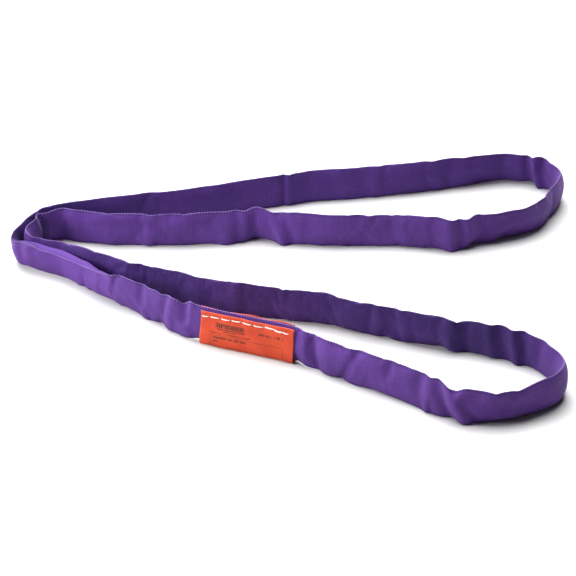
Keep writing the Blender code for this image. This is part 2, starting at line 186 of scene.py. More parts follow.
# Creases across the jacket, mm: place, outward push, half length, slant from the middle to the
# top edge, and the middle and reach of the stretch of height they cross (-1 bottom, 1 top).
CREASES = [
    (107, 1.4, 6, 0, 0.0, 2.0), (119, -2.8, 6, -2, 0.1, 2.0), (133, 1.5, 8, 0, 0.0, 2.0),
    (158, -1.5, 7, 9, -0.1, 1.3), (199, -1.8, 6, 2, 0.45, 0.6), (231, -2.0, 7, 2, 0.35, 0.7),
    (243, 1.4, 6, 2, 0.0, 2.0), (259, -2.4, 7, -8, 0.1, 2.0), (273, 2.4, 7, -9, -0.1, 2.0),
    (290, -1.8, 9, 0, 0.6, 0.6), (340, -0.8, 12, 5, 0.0, 2.0), (432, 1.4, 6, -3, 0.0, 2.0),
    (447, 1.5, 6, 4, 0.1, 2.0), (459, -2.2, 5, 3, 0.0, 2.0), (472, 1.2, 6, 3, 0.0, 2.0),
    (484, -1.6, 6, 3, 0.0, 2.0), (508, 1.8, 8, 0, 0.0, 2.0), (524, -2.0, 8, 0, 0.0, 2.0),
    (567, -1.2, 7, 2, -0.2, 1.0), (581, 1.2, 8, 0, 0.2, 1.0), (596, -1.1, 7, 0, 0.0, 1.2),
    (640, 1.0, 12, 5, 0.0, 2.0), (737, -1.3, 8, 0, 0.1, 1.0), (764, 1.3, 10, 0, 0.0, 2.0),
    (792, 1.5, 12, 3, 0.0, 2.0), (850, -0.9, 12, 4, 0.0, 2.0),
    (972, -2.4, 13, 0, 0.0, 2.0), (999, -5.5, 4, 0, 0.0, 2.0),
    (1024, -1.0, 7, 0, 0.3, 1.2), (1046, -0.9, 8, -5, 0.2, 1.0), (1071, 0.7, 8, -3, -0.1, 1.4),
    (1113, 0.8, 9, 2, 0.0, 1.4), (1190, 0.9, 8, 0, 0.0, 1.6), (1199, -0.8, 5, 0, 0.0, 2.0),
    (1208, 1.3, 5, 0, 0.0, 2.0), (1219, -1.2, 6, 0, 0.2, 1.4), (1243, 1.9, 5, -6, 0.0, 1.8),
    (1254, -1.4, 6, -5, 0.0, 1.8), (1266, 0.9, 6, 2, 0.0, 1.6), (1393, 0.8, 8, 0, -0.2, 1.2),
    (1417, 1.2, 6, 0, 0.0, 2.0), (1427, -2.2, 5, 0, 0.1, 2.0), (1437, 1.4, 6, 0, 0.0, 2.0),
    (1450, -2.0, 8, -2, -0.1, 1.6), (1466, 0.9, 8, 0, 0.0, 2.0), (1545, -0.8, 10, 3, 0.0, 2.0),
    (1610, 2.2, 5, 2, 0.0, 2.0), (1620, -4.0, 5, 4, 0.0, 2.0), (1630, 3.1, 5, 2, 0.0, 2.0),
    (1688, 0.8, 10, 6, 0.0, 2.0), (1730, -0.7, 8, 3, 0.0, 2.0), (1795, -0.8, 7, 0, 0.0, 2.0),
    (1840, 0.6, 9, 2, 0.0, 2.0), (1889, -1.0, 4, 0, 0.0, 2.0), (1894, 1.6, 3, 0, 0.0, 2.0),
    (1960, -0.6, 12, 4, 0.0, 2.0), (2040, 0.6, 14, -4, 0.0, 2.0), (2330, -1.2, 5, 4, 0.3, 0.8),
    (2366, -1.4, 6, 0, 0.5, 0.9), (2394, -1.6, 5, 5, 0.1, 1.6), (2405, 1.2, 6, 2, 0.0, 2.0),
    (2420, -2.0, 5, 2, 0.5, 0.9), (2429, 1.4, 5, 0, 0.5, 0.9),
]
# Bumps and dips of the top edge, mm: place, rise, half length.
TOP_EDGE = [
    (118, -1.3, 7), (270, -3.2, 7), (281, 0.8, 7), (449, 0.3, 7), (512, -2.4, 10), (533, 1.0, 9),
    (560, 0.9, 12), (618, -0.6, 12), (655, 0.9, 14), (735, 1.2, 12), (766, -1.6, 14), (905, 0.8, 12),
    (1019, 0.8, 8), (1118, -0.6, 15), (1197, 0.8, 10), (1209, -0.8, 7), (1222, 2.2, 9),
    (1245, -0.9, 9), (1262, 0.8, 9), (1340, -0.6, 18), (1404, 0.9, 9), (1427, -2.0, 8),
    (1446, 1.0, 8), (1612, -0.6, 5), (1621, 2.8, 6), (1632, -1.0, 6), (1675, 0.9, 16),
    (1890, -0.7, 4), (2146, 1.0, 6), (2367, -1.5, 8), (2394, -1.4, 6), (2407, 0.9, 7),
    (2419, -3.0, 5), (2429, 3.2, 8),
]
# Outward push of the bottom edge, mm: place, push, half length.
FOOT = [
    (118, 3.0, 9), (140, 1.5, 12), (165, 2.0, 12), (262, -1.5, 9), (281, 3.0, 9), (512, -3.0, 10),
    (533, 2.0, 9), (570, -1.5, 12), (735, 1.5, 14), (766, -2.5, 16), (1040, 1.5, 14),
    (1165, -1.5, 16), (1190, 2.0, 12), (1224, -4.0, 14), (1251, 2.2, 9), (1285, 1.0, 10),
    (1400, -1.0, 9), (1425, 4.6, 9), (1440, -2.4, 8), (1456, 2.0, 9), (1612, -2.0, 6),
    (1630, 2.5, 8), (2372, 2.5, 9), (2392, -1.5, 9), (2424, 2.5, 10),
]


# ---- the route, as in the CAD model ----
def span_tangents(points):
    """Smooth tangents, per metre of chord, at the points of a closed run."""
    count = len(points)
    tangents = []
    for i in range(count):
        before, here, after = points[i - 1], points[i], points[(i + 1) % count]
        back, ahead = (here - before).length, (after - here).length
        slope_back, slope_ahead = (here - before) / back, (after - here) / ahead
        tangents.append((slope_back * ahead + slope_ahead * back) / (back + ahead))
    return tangents


def hermite(start, end, start_slope, end_slope, t):
    """Point at fraction t of a cubic span."""
    return (
        start * (2 * t**3 - 3 * t**2 + 1) + start_slope * (t**3 - 2 * t**2 + t)
        + end * (3 * t**2 - 2 * t**3) + end_slope * (t**3 - t**2)
    )


def dense_route():
    """Closely spaced middle-line points and leans, scaled to the sling's length."""
    points = [Vector((x, y, 0.0)) / 1000 for x, y, _, _ in ROUTE_MM]
    leans = [Vector((lx, ly, 0.0)) / 1000 for _, _, lx, ly in ROUTE_MM]
    tangents = span_tangents(points)
    middle, lean = [], []
    for i in range(len(points)):
        j = (i + 1) % len(points)
        chord = (points[j] - points[i]).length
        for step in range(STEPS_PER_SPAN):
            t = step / STEPS_PER_SPAN
            middle.append(hermite(points[i], points[j], tangents[i] * chord, tangents[j] * chord, t))
            lean.append(leans[i].lerp(leans[j], t * t * (3 - 2 * t)))
    loop = sum((middle[i] - middle[i - 1]).length for i in range(len(middle)))
    scale = 2 * SLING_LENGTH / loop
    shift = Vector((ANCHOR[0], ANCHOR[1], 0.0))
    return [p * scale + shift for p in middle], lean


class Route:
    """The sling's middle line, sampled by distance along the loop."""

    def __init__(self):
        middle, lean = dense_route()
        self.middle = np.array([p[:2] for p in middle + middle[:1]])
        self.lean = np.array([p[:2] for p in lean + lean[:1]])
        steps = np.linalg.norm(np.diff(self.middle, axis=0), axis=1)
        self.lengths = np.concatenate([[0.0], np.cumsum(steps)])
        self.loop = float(self.lengths[-1])

    def sample(self, values, s):
        """Values at distances s, which may run past either end of the loop."""
        s = np.mod(s, self.loop)
        return np.stack([np.interp(s, self.lengths, values[:, k]) for k in range(2)], axis=-1)

    def at(self, s):
        """Place, unit direction along, unit direction outwards and lean at distances s."""
        s = np.asarray(s, float)
        place = self.sample(self.middle, s)
        along = self.sample(self.middle, s + 0.002) - self.sample(self.middle, s - 0.002)
        along /= np.linalg.norm(along, axis=-1, keepdims=True)
        side = np.stack([along[..., 1], -along[..., 0]], axis=-1)
        return place, along, side, self.sample(self.lean, s)


ROUTE = Route()


def past_tag(s):
    """Distance along the sling from the nearer end of the tag, and 0 under it."""
    s = np.mod(s, ROUTE.loop)
    return np.where(s > TAG_LENGTH, np.minimum(s - TAG_LENGTH, ROUTE.loop - s), 0.0)


def tag_lift(s):
    """Rise of the jacket over the tag's fold."""
    return TAG_LIFT * np.clip(1 - past_tag(s) / RAMP_LENGTH, 0, 1)


def smooth(x):
    """Smooth step from 0 to 1."""
    x = np.clip(x, 0, 1)
    return x * x * (3 - 2 * x)


def table(rows, s):
    """Smoothly joined values of a short table of (distance, value) rows."""
    places = np.array([r[0] for r in rows])
    values = np.array([r[1] for r in rows], float)
    i = np.clip(np.searchsorted(places, s, side="right") - 1, 0, len(rows) - 2)
    t = smooth((s - places[i]) / (places[i + 1] - places[i]))
    return values[i] * (1 - t) + values[i + 1] * t


def ripple(s, across, size, seed):
    """Smooth noise, between about -1 and 1, that closes on itself round the loop."""
    gain, seed_step = 1.8, 17.3
    radius = ROUTE.loop / size / (2 * math.pi)
    out = np.empty(np.shape(s))
    for index, (a, b) in enumerate(zip(np.ravel(s), np.ravel(across))):
        angle = 2 * math.pi * a / ROUTE.loop
        point = (radius * math.cos(angle), radius * math.sin(angle), b + seed * seed_step)
        out.flat[index] = noise.noise(point)
    return out * gain


# ---- jacket shape ----
def jacket_outline():
    """Height fraction and depth fraction round the flat tube, bottom edge first."""
    angle = 2 * np.pi * np.arange(AROUND) / AROUND
    height = -np.cos(angle)
    depth = np.sin(angle)
    return height, depth * (0.30 + 0.70 * np.abs(depth) ** 0.7)


def bumps(rows, s):
    """Sum of smooth bumps from rows of place, size and half length in mm, at distances s."""
    total = np.zeros(np.shape(s))
    behind = 600                   # mm; what lies further back is reached the other way round
    for place, size, half in rows:
        away = np.mod(s * 1000 - place + behind, ROUTE.loop * 1000) - behind
        total += size * np.exp(-((away / half) ** 2))
    return total / 1000


def crease_push(s, height):
    """Outward push of the creases at distances s and heights from -1 to 1."""
    total = np.zeros(np.shape(height))
    fade = 0.5
    for place, push, half, slant, centre, reach in CREASES:
        away = s * 1000 - place - slant * height
        spread = np.clip((np.abs(height - centre) - reach + fade) / fade, 0, 1)
        total += push * np.exp(-((away / half) ** 2)) * (1 - smooth(spread))
    return total / 1000


def bent_line(lean_angle, curl, width):
    """Bent middle line of one cross-section: sideways and upward places, and its slope."""
    steps = 48
    t = np.linspace(-width / 2, width / 2, steps + 1)
    bend = lean_angle + curl * smooth((t - (width / 2 - CURL_REACH)) / (CURL_REACH * CURL_BEND))
    middle = (bend[1:] + bend[:-1]) / 2
    run = width / steps
    out = np.concatenate([[0.0], np.cumsum(np.sin(middle) * run)])
    rise = np.concatenate([[0.0], np.cumsum(np.cos(middle) * run)])
    return t, out - np.interp(0.0, t, out), rise, bend


def near_tag(s):
    """1 under the tag, falling to 0 a little way past its ends."""
    return 1 - smooth(past_tag(s) / HELD_FADE)


def jacket_sizes(s, held):
    """Width and thickness of the jacket at distances s, steadier where the tag holds it."""
    zeros = np.zeros(len(s))
    change = WIDTH_CHANGE * ripple(s, zeros, 0.11, 1) * (1 - held)
    width = JACKET_WIDTH * (1 - WIDTH_LOSS + change)
    width += bumps(TOP_EDGE, s) * (1 - held) + HELD_RISE * held
    thick = JACKET_THICKNESS * (1 + THICKNESS_CHANGE * ripple(s, zeros, 0.07, 2))
    return width, thick * (1 - held) + HELD_THICKNESS * held


def jacket_depths(s, held, thick, height, depth):
    """Depth of each point of each ring from its bent middle line."""
    far = np.repeat(s[:, None], AROUND, axis=1)
    heights = np.repeat(height[None, :], len(s), axis=0)
    face = np.repeat(np.sign(depth)[None, :], len(s), axis=0)
    free = 1 - held[:, None]
    puff = 1 + PUFF_CHANGE * ripple(far, heights * 1.1 + face * 3, 0.028, 4) * free
    bow = BOW_CHANGE * ripple(s, np.zeros(len(s)), 0.06, 3) * (1 - held)
    foot = bumps(FOOT, s) * (1 - held)
    total = depth * puff * thick[:, None] / 2 + bow[:, None] * (1 - height**2)
    total += crease_push(far, heights) * free
    return total + foot[:, None] * np.clip(-height, 0, 1) ** 1.5


def jacket_points():
    """The jacket before its cloth is wrinkled: stations by points round the tube."""
    s = ROUTE.loop * np.arange(STATIONS) / STATIONS
    place, along, side, lean = ROUTE.at(s)
    held = near_tag(s)
    height, depth = jacket_outline()
    width, thick = jacket_sizes(s, held)
    depths = jacket_depths(s, held, thick, height, depth)
    curl = np.radians(table(CURL, s))
    points = np.empty((STATIONS, AROUND, 3))
    for i in range(STATIONS):
        full_lean = math.asin(float(lean[i] @ side[i]) / JACKET_WIDTH)
        lean_angle = full_lean * (1 - smooth(curl[i] / UPRIGHT_CURL))
        set_back = (math.sin(lean_angle) - math.sin(full_lean)) * JACKET_WIDTH / 2
        t, out, rise, bend = bent_line(lean_angle, curl[i], width[i])
        h = height * width[i] / 2
        turn = np.interp(h, t, bend)
        sideways = np.interp(h, t, out) + np.cos(turn) * depths[i] + set_back
        upwards = np.interp(h, t, rise) - np.sin(turn) * depths[i]
        upwards += tag_lift(s[i]) - upwards.min()
        forward = float(lean[i] @ along[i]) * h / JACKET_WIDTH
        points[i, :, :2] = place[i] + np.outer(sideways, side[i]) + np.outer(forward, along[i])
        points[i, :, 2] = upwards
    return points


def tube_mesh(name, points):
    """A mesh closed both ways, with a map in metres along and round the tube."""
    rows, cols = points.shape[:2]
    faces = []
    for r in range(rows):
        for c in range(cols):
            r2, c2 = (r + 1) % rows, (c + 1) % cols
            faces.append((r * cols + c, r2 * cols + c, r2 * cols + c2, r * cols + c2))
    mesh = bpy.data.meshes.new(name)
    mesh.from_pydata(points.reshape(-1, 3).tolist(), [], faces)
    girth = np.linalg.norm(np.diff(np.vstack([points[0], points[0][:1]]), axis=0), axis=1)
    around = np.concatenate([[0.0], np.cumsum(girth)])
    around *= 2 * EDGE_SPAN / around[-1]
    step = round(ROUTE.loop / WEFT_PITCH / 2) * 2 * WEFT_PITCH / rows
    layer = mesh.uv_layers.new(name="weave")
    for r in range(rows):
        for c in range(cols):
            corner = (r * cols + c) * 4
            places = ((r, c), (r + 1, c), (r + 1, c + 1), (r, c + 1))
            for k, (a, b) in enumerate(places):
                layer.data[corner + k].uv = (a * step, around[b])
    mesh.shade_smooth()
    return mesh


def add_object(name, data):
    """A new object in the scene."""
    piece = bpy.data.objects.new(name, data)
    bpy.context.scene.collection.objects.link(piece)
    return piece


def add_cloth(piece):
    """A cloth simulation in which the jacket grows a little while its yarn core holds it."""
    cloth = piece.modifiers.new("cloth", "CLOTH")
    setting = cloth.settings
    setting.quality = 5
    setting.mass = 0.15
    setting.tension_stiffness = 40
    setting.compression_stiffness = 40
    setting.shear_stiffness = 10
    setting.bending_stiffness = 0.8
    setting.air_damping = 3
    setting.effector_weights.gravity = 0
    setting.vertex_group_mass = "hold"
    setting.pin_stiffness = 1.0
    setting.vertex_group_shrink = "taut"
    setting.shrink_min = -GROWTH
    setting.shrink_max = 0.0
    cloth.collision_settings.use_collision = False
    cloth.point_cache.frame_start = 1
    cloth.point_cache.frame_end = CLOTH_FRAMES
    return cloth


def vertex_places(mesh):
    """The places of a mesh's vertices, one row each."""
    places = np.empty(len(mesh.vertices) * 3)
    mesh.vertices.foreach_get("co", places)
    return places.reshape(-1, 3)


def wrinkle(piece):
    """Wrinkles the jacket, then lets each ring of it down to what it stands on."""
    start = vertex_places(piece.data)
    hold = piece.vertex_groups.new(name="hold")
    taut = piece.vertex_groups.new(name="taut")
    s = ROUTE.loop * np.arange(STATIONS) / STATIONS
    held, bunched = near_tag(s), table(BUNCHED, s)
    for i in range(STATIONS):
        ring = list(range(i * AROUND, (i + 1) * AROUND))
        hold.add(ring, float(CORE_HOLD + (1 - CORE_HOLD) * held[i]), "REPLACE")
        taut.add(ring, float(1 - bunched[i]), "REPLACE")
    cloth = add_cloth(piece)
    for number in range(1, CLOTH_FRAMES + 1):
        bpy.context.scene.frame_set(number)
    shape = piece.evaluated_get(bpy.context.evaluated_depsgraph_get())
    travel = vertex_places(shape.data) - start
    piece.modifiers.remove(cloth)
    piece.vertex_groups.remove(hold)
    piece.vertex_groups.remove(taut)
    bpy.context.scene.frame_set(1)
    length = np.linalg.norm(travel, axis=1, keepdims=True)
    travel *= CLOTH_REACH * np.tanh(length / CLOTH_REACH) / np.maximum(length, 1e-9)
    final = (start + travel).reshape(STATIONS, AROUND, 3)
    rest = tag_lift(s)[:, None]
    final[:, :, 2] += rest - final[:, :, 2].min(axis=1, keepdims=True) - EDGE_PRESSED
    final[:, :, 2] = np.maximum(final[:, :, 2], rest)
    piece.data.vertices.foreach_set("co", final.reshape(-1))
    piece.data.update()


def close_tube(faces, base, rings, sides):
    """Adds the faces of a tube with closed ends, whose rings of points start at base."""
    for i in range(rings - 1):
        for k in range(sides):
            n = (k + 1) % sides
            a = base + i * sides
            faces.append((a + k, a + n, a + sides + n, a + sides + k))
    faces.append(tuple(base + k for k in reversed(range(sides))))
    last = base + (rings - 1) * sides
    faces.append(tuple(last + k for k in range(sides)))


def yarn_room(points):
    """Middle places and half depths for the yarn in the jacket, evened out along the loop."""
    mirror = (-np.arange(AROUND)) % AROUND
    middle = (points + points[:, mirror]) / 2
    deep = (points - points[:, mirror]) / 2
    reach = range(-1, 2)
    middle = sum(np.roll(middle, shift, axis=0) for shift in reach) / len(reach)
    room = np.linalg.norm(deep, axis=2)
    least = np.min([np.roll(room, shift, axis=0) for shift in reach], axis=0)
    deep *= (YARN_DEPTH * least / np.maximum(room, 1e-9))[..., None]
    return middle, deep


def build_core(points):
    """The yarn, wound round and round inside the jacket, one pitch further up at each turn."""
    half = AROUND // 2
    middle, deep = yarn_room(points)
    verts = []
    total = YARN_TURNS * YARN_STATIONS
    for k in range(total + 1):
        station = (k * STATIONS // YARN_STATIONS) % STATIONS
        at = math.acos(-YARN_SPREAD * (2 * k / total - 1)) / math.pi * half
        low = min(int(at), half - 1)
        fraction = at - low
        centre = middle[station, low] * (1 - fraction) + middle[station, low + 1] * fraction
        out = deep[station, low] * (1 - fraction) + deep[station, low + 1] * fraction
        up = middle[station, half] - middle[station, 0]
        up = up / np.linalg.norm(up) * YARN_PITCH * YARN_RISE
        for corner in range(YARN_SIDES):
            angle = 2 * math.pi * corner / YARN_SIDES
            verts.append(tuple(centre + math.cos(angle) * out + math.sin(angle) * up))
    faces = []
    close_tube(faces, 0, total + 1, YARN_SIDES)
    mesh = bpy.data.meshes.new("core_yarn_turns")
    mesh.from_pydata(verts, [], faces)
    mesh.shade_smooth()
    return add_object("core_yarn_turns", mesh)


def build_jacket():
    """The woven jacket and the yarn inside it."""
    piece = add_object("sling_jacket", tube_mesh("sling_jacket", jacket_points()))
    wrinkle(piece)
    core = build_core(vertex_places(piece.data).reshape(STATIONS, AROUND, 3))
    finer = piece.modifiers.new("finer", "SUBSURF")
    finer.levels = finer.render_levels = 1
    piece.data.materials.append(jacket_material())
    return piece, core


# ---- tag and its seam ----
def tag_path():
    """The tag's middle line across the sling: height and depth, from the back to the front."""
    path = [np.array((h, -d)) for h, d in reversed(TAG_BACK)] + [np.array(p) for p in TAG_FRONT]
    for _ in range(3):
        cut = [path[0]]
        for a, b in zip(path, path[1:]):
            cut += [a * 0.75 + b * 0.25, a * 0.25 + b * 0.75]
        path = cut + [path[-1]]
    path = np.array(path)
    lengths = np.concatenate([[0.0], np.cumsum(np.linalg.norm(np.diff(path, axis=0), axis=1))])
    return path, lengths


def bell(x, centre, reach):
    """A smooth bump of height 1 round a place."""
    return math.exp(-(((x - centre) / reach) ** 2))


def tag_rise(x, front, back):
    """How far the tag's free edges rise or sag, x mm from its left end."""
    front_sag = FRONT_SAG * bell(x, 66, 22) * front
    back_sag = BACK_SAG * back * (1 - smooth((x - 25) / 30))
    wave = BACK_WAVE * math.sin(x / 6.0) * bell(x, 70, 20) * back
    return (wave - front_sag - back_sag) * max(front, back) ** 4


def tag_swell(x, height, along_path, front):
    """How far the tag stands out: puffed, drawn in at the needle holes, flared at its edges."""
    puff = TAG_PUFF * noise.noise((x / 16, along_path * 70, 3.0))
    seam = (height - STITCH_HEIGHT - 0.0005) / 0.0028
    pull = 0.0
    for end in STITCH_ENDS:
        pull += HOLE_PULL * math.exp(-(((x - end) / 2.2) ** 2) - seam**2)
    flare = EDGE_FLARE * max(0.0, (height - 0.0145) / 0.0035)
    flare *= 0.5 + 0.5 * math.sin(x / 9.0 + 1.0)
    corner = CORNER_OUT * bell(x, 0, 20) * smooth(-height / 0.018) * front
    return puff - pull + flare + corner


def tag_surface(s, along_path, path, lengths):
    """A point of the tag's middle surface, with the way outwards from the sling."""
    height = np.interp(along_path, lengths, path[:, 0])
    depth = np.interp(along_path, lengths, path[:, 1])
    half = lengths[-1] / 2
    front = smooth((along_path - half) / half * 1.2)
    back = smooth((half - along_path) / half * 1.2)
    x = s * 1000
    height += tag_rise(x, front, back)
    outwards = 1.0 if depth >= 0 else -1.0
    depth += outwards * tag_swell(x, height, along_path, front)
    skew = front * (FRONT_SHIFT + FRONT_SKEW * (1 - s / TAG_LENGTH)) - back * BACK_SHIFT
    place, _, side, _ = ROUTE.at(s + skew)
    flat = place + side * depth
    z = max(JACKET_WIDTH / 2 + TAG_LIFT + height, TAG_THICKNESS / 2)
    return Vector((flat[0], flat[1], z)), Vector((side[0], side[1], 0.0)) * outwards


def build_tag():
    """The woven identification tag, folded once round the sling."""
    path, lengths = tag_path()
    rows, cols = 64, 56
    verts, faces = [], []
    for r in range(rows):
        s = TAG_LENGTH * r / (rows - 1)
        for c in range(cols):
            verts.append(tag_surface(s, lengths[-1] * c / (cols - 1), path, lengths)[0])
    for r in range(rows - 1):
        for c in range(cols - 1):
            a = r * cols + c
            faces.append((a, a + cols, a + cols + 1, a + 1))
    mesh = bpy.data.meshes.new("sling_tag")
    mesh.from_pydata(verts, [], faces)
    layer = mesh.uv_layers.new(name="sheet")
    for face in mesh.polygons:
        for loop in face.loop_indices:
            r, c = divmod(mesh.loops[loop].vertex_index, cols)
            layer.data[loop].uv = (TAG_LENGTH * r / (rows - 1), lengths[-1] * (1 - c / (cols - 1)))
    mesh.shade_smooth()
    piece = add_object("sling_tag", mesh)
    thick = piece.modifiers.new("thick", "SOLIDIFY")
    thick.thickness = TAG_THICKNESS
    thick.offset = 0.0
    thick.use_even_offset = False
    mesh.materials.append(tag_material(lengths[-1]))
    return piece, lengths[-1]


def tube_along(verts, faces, path, radius):
    """Adds a round tube with closed ends through a list of points."""
    sides, base = 8, len(verts)
    thin_ends = (0.45, 0.8, 1.0)
    for i, centre in enumerate(path):
        ahead = (path[min(i + 1, len(path) - 1)] - path[max(i - 1, 0)]).normalized()
        across = ahead.cross(Vector((0.0, 0.0, 1.0))).normalized()
        up = across.cross(ahead)
        size = radius * thin_ends[min(i, len(path) - 1 - i, 2)]
        for k in range(sides):
            angle = 2 * math.pi * k / sides
            verts.append(centre + (across * math.cos(angle) + up * math.sin(angle)) * size)
    close_tube(faces, base, len(path), sides)


def seam_height(x):
    """Height of the tag's seam, sewn by hand and eye, x mm from the tag's left end."""
    height = STITCH_HEIGHT + 0.0011 * math.sin(math.pi * x / 95) + 0.0003 * math.sin(x / 5.0)
    return height - 0.0008 * (1 - smooth(x / 20)) - 0.0013 * smooth((x - 68) / 25)


def stitch_path(start, end, drop, front):
    """Points of one stitch lying on the tag, both ends pulled into it."""
    path, lengths = tag_path()
    total = lengths[-1]
    front_half = lengths >= lengths[len(lengths) // 2]
    points = []
    for k in range(STITCH_STEPS + 1):
        t = k / STITCH_STEPS
        x = start + (end - start) * t
        height = seam_height(x) - drop
        along_path = float(np.interp(height, path[:, 0][front_half], lengths[front_half]))
        if not front:
            along_path = total - along_path
        centre, out = tag_surface(x / 1000, along_path, path, lengths)
        proud = STITCH_PROUD * min(1.0, 5 * t, 5 * (1 - t)) ** 0.6 - STITCH_SUNK
        points.append(centre + out * (TAG_THICKNESS / 2 + STITCH_THREAD * proud))
    return points


def build_stitches(name, front):
    """White lock stitches of two plies along the tag, sewn over again at the far end."""
    verts, faces = [], []
    for start, end in zip(STITCH_ENDS, STITCH_ENDS[1:]):
        gap = 0.6 if start < BACK_TACKED_FROM else 0.1
        drop = 0.0003 * math.sin(start * 1.7)
        for ply in (-1, 1):
            middle = stitch_path(start + gap, end - gap, drop, front)
            lay = [p + Vector((0, 0, ply * STITCH_THREAD * PLY_APART)) for p in middle]
            tube_along(verts, faces, lay, STITCH_THREAD * PLY_RADIUS)
    for start, end, drop in BACK_TACK:
        path = stitch_path(start, end, drop, front)
        tube_along(verts, faces, path, STITCH_THREAD * BACK_TACK_RADIUS)
    mesh = bpy.data.meshes.new(name)
    mesh.from_pydata(verts, [], faces)
    mesh.shade_smooth()
    piece = add_object(name, mesh)
    mesh.materials.append(bpy.data.materials["tag_thread"])
    return piece


# ---- materials ----
# Colours of the jacket's cloth, and of the shade and highlights painted on it.
CLOTH_DEEP = (0.074, 0.021, 0.188)
CLOTH_PALE = (0.096, 0.029, 0.237)
# painted shade: the inner face, turned in towards the loop, is darker
CLOTH_INNER_SHADE = (0.034, 0.005, 0.124)
# painted shade: the darkest purple, put where folds and the strand in front shade the cloth
CLOTH_PAINTED_SHADE = (0.016, 0.003, 0.078)
# painted shade in the hollows between the threads
CLOTH_SHADE_BETWEEN_THREADS = (0.016, 0.005, 0.054)
CLOTH_FIBRE = (0.20, 0.10, 0.40)
# pale folded edges: wear of the rubbed threads, with a painted highlight along them
CLOTH_WEAR_AND_HIGHLIGHT = (0.34, 0.22, 0.56)
# painted shade in the notches where the ribs turn round the folded edges
CLOTH_NOTCH_SHADE = (0.018, 0.006, 0.056)
CLOTH_SHEEN = (0.70, 0.45, 0.98)

# Colours of the tag.
TAG_DEEP = (0.49, 0.044, 0.014)
TAG_PALE = (0.60, 0.066, 0.023)
TAG_FIBRE = (0.62, 0.12, 0.06)
TAG_INK = (0.028, 0.016, 0.012)
TAG_CUT_EDGE = (0.52, 0.13, 0.07)

# Pale and dark colours of the threads and the yarn.
CLOSING_PURPLE = ((0.16, 0.09, 0.32), (0.08, 0.04, 0.18))
STITCH_WHITE = ((0.66, 0.64, 0.61), (0.50, 0.47, 0.44))
YARN_WHITE = ((0.80, 0.78, 0.72), (0.62, 0.60, 0.55))


class Nodes:
    """Short helpers for building one material's node tree."""

    def __init__(self, name):
        self.material = bpy.data.materials.new(name)
        self.material.use_nodes = True
        self.tree = self.material.node_tree
        self.shader = self.tree.nodes["Principled BSDF"]

    def add(self, kind, **settings):
        """A new node with some of its settings."""
        node = self.tree.nodes.new(kind)
        for key, value in settings.items():
            setattr(node, key, value)
        return node

    def plug(self, value, socket):
        """Gives a socket a number, a colour or another node's output."""
        if isinstance(value, (int, float)):
            socket.default_value = value
        elif isinstance(value, tuple):
            socket.default_value = value if len(value) == 4 else (*value, 1.0)
        else:
            self.tree.links.new(value, socket)

    def math(self, operation, a, b=0.0, c=0.0):
        """The output of a sum on numbers or sockets."""
        node = self.add("ShaderNodeMath", operation=operation)
        for value, socket in zip((a, b, c), node.inputs):
            self.plug(value, socket)
        return node.outputs[0]

    def mix(self, factor, a, b):
        """Colour a, or b where the factor is 1."""
        node = self.add("ShaderNodeMix", data_type="RGBA")
        self.plug(factor, node.inputs[0])
        self.plug(a, node.inputs[6])
        self.plug(b, node.inputs[7])
        return node.outputs[2]

    def noise(self, vector, scale, detail=2.0):
        """Soft noise with so many lumps per metre."""
        node = self.add("ShaderNodeTexNoise")
        self.plug(vector, node.inputs["Vector"])
        node.inputs["Scale"].default_value = scale
        node.inputs["Detail"].default_value = detail
        return node.outputs[0]

    def ramp(self, value, low, high):
        """Smooth step from 0 at low to 1 at high."""
        node = self.add("ShaderNodeMapRange", interpolation_type="SMOOTHSTEP")
        self.plug(value, node.inputs[0])
        node.inputs[1].default_value = low
        node.inputs[2].default_value = high
        return node.outputs[0]

    def split(self, vector):
        """The first two parts of a vector."""
        node = self.add("ShaderNodeSeparateXYZ")
        self.plug(vector, node.inputs[0])
        return node.outputs[0], node.outputs[1]

    def bump(self, height, distance, strength=1.0):
        """Makes a height shade the surface."""
        node = self.add("ShaderNodeBump")
        node.inputs["Strength"].default_value = strength
        node.inputs["Distance"].default_value = distance
        self.plug(height, node.inputs["Height"])
        self.tree.links.new(node.outputs[0], self.shader.inputs["Normal"])


def weave_height(n, u, v, pitch_u, pitch_v):
    """Height of a plain weave: rounded threads passing over and under each other."""
    along = n.math("ABSOLUTE", n.math("SINE", n.math("MULTIPLY", u, math.pi / pitch_u)))
    across = n.math("ABSOLUTE", n.math("SINE", n.math("MULTIPLY", v, math.pi / pitch_v)))
    cells = n.math("ADD", n.math("FLOOR", n.math("DIVIDE", u, pitch_u)),
                   n.math("FLOOR", n.math("DIVIDE", v, pitch_v)))
    odd = n.math("FLOORED_MODULO", cells, 2.0)
    rib = n.math("MULTIPLY", n.math("POWER", along, 0.5), across)
    thread = n.math("MULTIPLY", n.math("POWER", across, 0.5), along)
    return n.math("ADD", n.math("MULTIPLY", rib, odd),
                  n.math("MULTIPLY", thread, n.math("SUBTRACT", 1.0, odd)))


def paint_shade_runs(n, base, u, inner):
    """Paints shade on the stretches of one face or the other that the table of painted shade at the
    top lists.
    """
    outer = n.math("SUBTRACT", 1.0, inner)
    for face, start, end, fade, depth in PAINTED_SHADE_RUNS:
        begun = n.ramp(u, start - fade, start + fade)
        run = n.math("MULTIPLY", begun, n.ramp(u, end + fade, end - fade))
        on_face = n.math("MULTIPLY", inner if face == "inner" else outer, run)
        base = n.mix(n.math("MULTIPLY", on_face, depth), base, CLOTH_PAINTED_SHADE)
    return base


